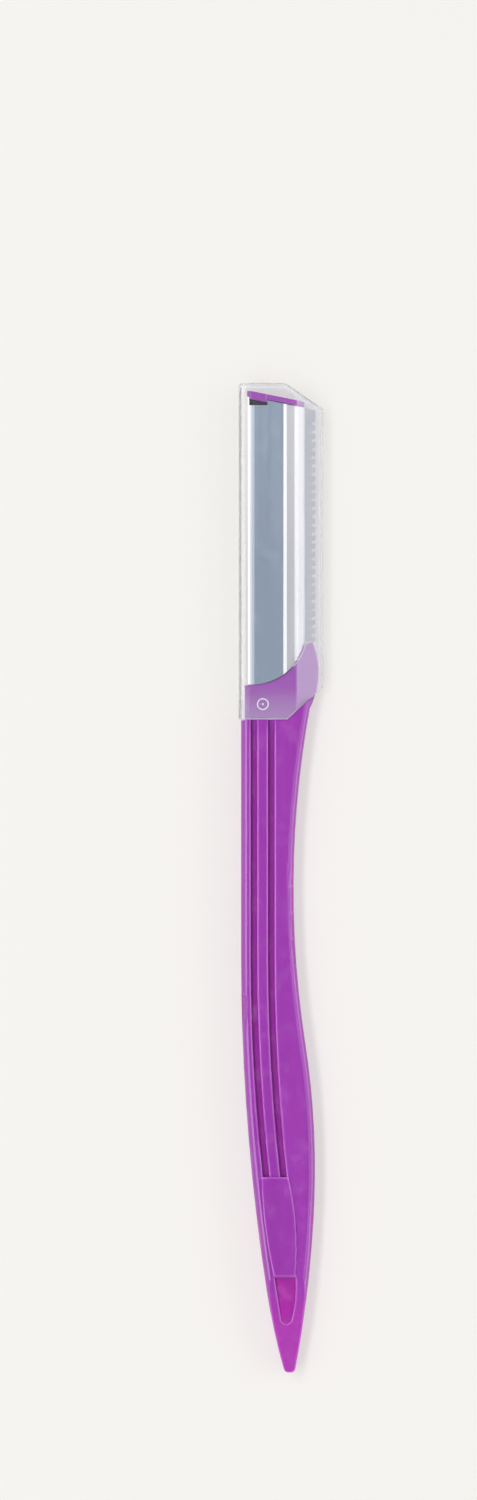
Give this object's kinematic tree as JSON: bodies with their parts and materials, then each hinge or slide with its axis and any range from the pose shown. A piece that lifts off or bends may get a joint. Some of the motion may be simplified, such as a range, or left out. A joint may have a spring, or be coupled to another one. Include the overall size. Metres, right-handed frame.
{
  "type": "eyebrow razor",
  "caption": "Eyebrow razor: a slim swaying handle, a short blade inside a folded steel sleeve with a comb edge, and a clear cap that slides off along the blade.",
  "frame": {"origin": "middle of the razor's footprint, on the surface that its flat back lies on", "axes": "+Y along the razor from the tail to the capped tip, +X from the spine to the cutting side, +Z away from the surface"},
  "size_m": [0.0126, 0.1474, 0.0045],
  "materials": {
    "handle_plastic": "moulded glossy purple plastic",
    "blade_steel": "ground stainless steel",
    "sleeve_steel": "bright rolled stainless sheet",
    "cap_plastic": "clear moulded plastic with a faint milky haze"
  },
  "bodies": {
    "razor": {"handle": "handle_plastic", "blade": "blade_steel", "guard_sleeve": "sleeve_steel"},
    "cap": {"cap": "cap_plastic"}
  },
  "joints": [
    {"name": "cap_slide", "type": "slide", "parent": "razor", "child": "cap", "axis": [0, 1, 0], "range_m": [0, 0.055]}
  ]
}
